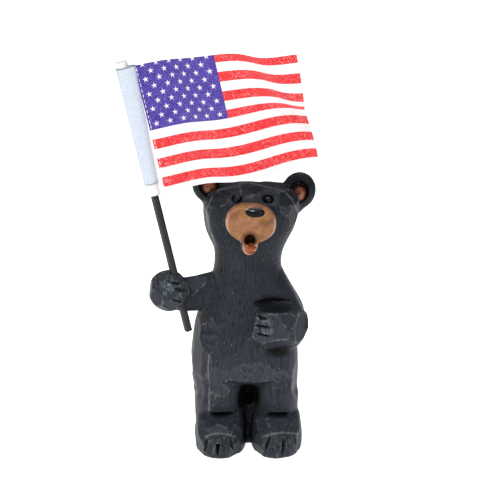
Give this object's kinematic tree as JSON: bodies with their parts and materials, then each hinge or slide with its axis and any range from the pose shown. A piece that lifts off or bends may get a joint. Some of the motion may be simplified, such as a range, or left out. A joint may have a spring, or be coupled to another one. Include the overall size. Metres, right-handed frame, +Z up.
{
  "type": "bear figurine",
  "caption": "Standing black bear figure in a knife-carved style, open-mouthed, one paw on its belly and the other holding up a small cloth flag on a leaning stick.",
  "frame": {"origin": "on the ground under the figure, just behind the gap between its feet", "axes": "+Z up; the bear faces -Y; its right paw with the staff is towards -X and the flag flies towards +X"},
  "size_m": [0.0967, 0.0832, 0.2065],
  "materials": {
    "black_paint": "slate-black satin paint on cast resin, pale along the knife ridges; tan snout, black nose and eyes, orange tongue",
    "black_wood": "thin square stick stained matte black",
    "printed_cloth": "coarse plain-woven white cloth printed with red stripes and a purple-blue canton of white stars"
  },
  "bodies": {
    "root": {"bear": "black_paint", "flag_staff": "black_wood", "flag": "printed_cloth"}
  },
  "joints": []
}
